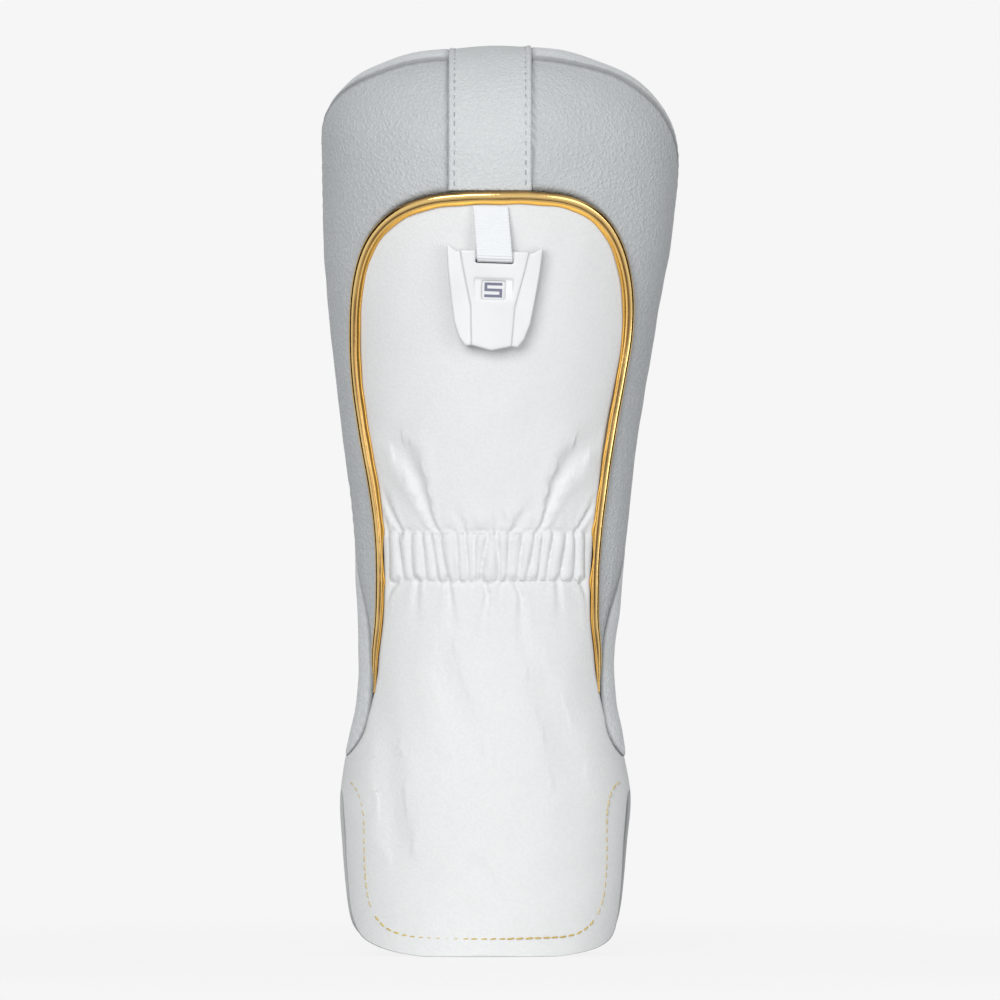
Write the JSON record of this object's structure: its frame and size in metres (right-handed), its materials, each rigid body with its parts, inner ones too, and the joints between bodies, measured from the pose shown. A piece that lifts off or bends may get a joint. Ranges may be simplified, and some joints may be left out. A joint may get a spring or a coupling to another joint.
{
  "type": "fairway wood headcover",
  "caption": "Padded leather headcover for a fairway wood, with a gathered elastic waist, a slit fleece-lined mouth, a gold welt and a hanging number tag with a turning dial.",
  "frame": {"origin": "middle of the mouth, level with the lowest edge of its hem, on the line where the club's shaft leaves", "axes": "+Z from the mouth to the closed crown, +X to the right seen from the front, -Y is the front with the number tag"},
  "size_m": [0.1297, 0.0903, 0.3302],
  "materials": {
    "white_leather": "pebbled white synthetic leather",
    "pale_grey_leather": "pebbled pale grey synthetic leather",
    "grey_leather": "pebbled grey synthetic leather",
    "gold_vinyl": "gold metallic foil vinyl",
    "white_cord": "twisted filler cord",
    "elastic": "woven elastic",
    "foam": "open cell foam",
    "fleece": "grey fleece",
    "gold_thread": "twisted gold thread",
    "grey_thread": "twisted grey thread",
    "white_thread": "twisted white thread",
    "ribbon": "white grosgrain",
    "tag_plastic": "satin white moulded plastic",
    "numeral_ink": "printed slate grey"
  },
  "bodies": {
    "cover": {"front_panel": "white_leather", "front_yoke": "grey_leather", "side_gusset": "pale_grey_leather", "back_panel": "grey_leather", "back_cuff": "white_leather", "crown_strap": "grey_leather", "piping_cover": "gold_vinyl", "piping_cord": "white_cord", "waist_elastic": "elastic", "front_pad": "foam", "back_pad": "foam", "front_lining": "fleece", "back_lining": "fleece", "front_hem": "white_leather", "back_hem": "white_leather", "hem_thread": "gold_thread", "strap_thread": "grey_thread", "gather_thread": "white_thread"},
    "ribbon": {"tag_ribbon": "ribbon"},
    "tag": {"tag_front": "tag_plastic", "tag_back": "tag_plastic"},
    "dial": {"number_dial": "tag_plastic", "dial_numerals": "numeral_ink"}
  },
  "joints": [
    {"name": "ribbon_swing", "type": "hinge", "parent": "cover", "child": "ribbon", "pos_m": [0.001, -0.04246, 0.26966], "axis": [-0.9994, 0, 0.0349], "range_deg": [0, 80]},
    {"name": "tag_tilt", "type": "hinge", "parent": "ribbon", "child": "tag", "pos_m": [0.0024, -0.04446, 0.2526], "axis": [-0.9994, 0, 0.0349], "range_deg": [0, 90]},
    {"name": "dial_turn", "type": "hinge", "parent": "tag", "child": "dial", "pos_m": [0.00169, -0.04446, 0.23211], "axis": [0, -1, 0], "continuous": true}
  ]
}
